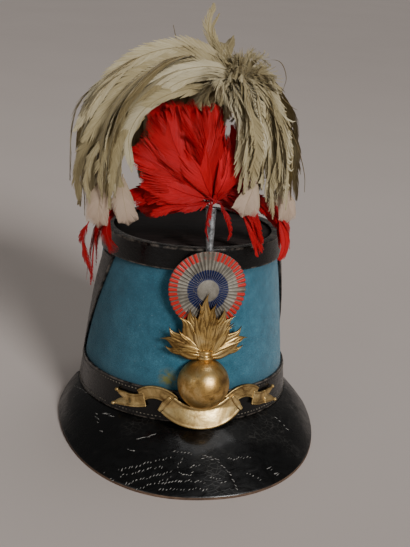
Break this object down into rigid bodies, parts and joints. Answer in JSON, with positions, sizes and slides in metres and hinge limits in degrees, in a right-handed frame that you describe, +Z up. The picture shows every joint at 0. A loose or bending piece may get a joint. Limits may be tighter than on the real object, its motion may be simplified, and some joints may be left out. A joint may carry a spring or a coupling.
{
  "type": "shako hat",
  "caption": "Cloth-covered military shako with a black leather peak and bands, a pleated tin cockade, a brass grenade badge over a bare scroll and a drooping feather plume.",
  "frame": {"origin": "middle of the hat's bounding box at the level of the surface it rests on", "axes": "+Z up from that surface, -Y towards the front and the peak, +X towards the wearer's left; the hat is tipped back by 9 degrees as it rests on its peak and rear band"},
  "size_m": [0.2056, 0.2552, 0.3239],
  "materials": {
    "blue_cloth": "matt felted wool cloth",
    "black_leather": "worn gloss black",
    "top_leather": "dull, streaked brown-black",
    "patent_leather": "crazed patent gloss with a raw brown edge",
    "painted_tin": "worn paint in rings of red, bare grey and dark blue",
    "aged_brass": "tarnished, brighter on the ridges",
    "tin": "mottled grey",
    "white_feathers": "cream feathers",
    "red_feathers": "crimson feathers"
  },
  "bodies": {
    "root": {"crown_shell": "blue_cloth", "top_disc": "top_leather", "top_band": "black_leather", "base_band": "black_leather", "chevron_left": "black_leather", "chevron_right": "black_leather", "peak": "patent_leather", "cockade": "painted_tin", "grenade_badge": "aged_brass", "plume_tube": "tin", "plume_white": "white_feathers", "plume_red": "red_feathers"}
  },
  "joints": []
}
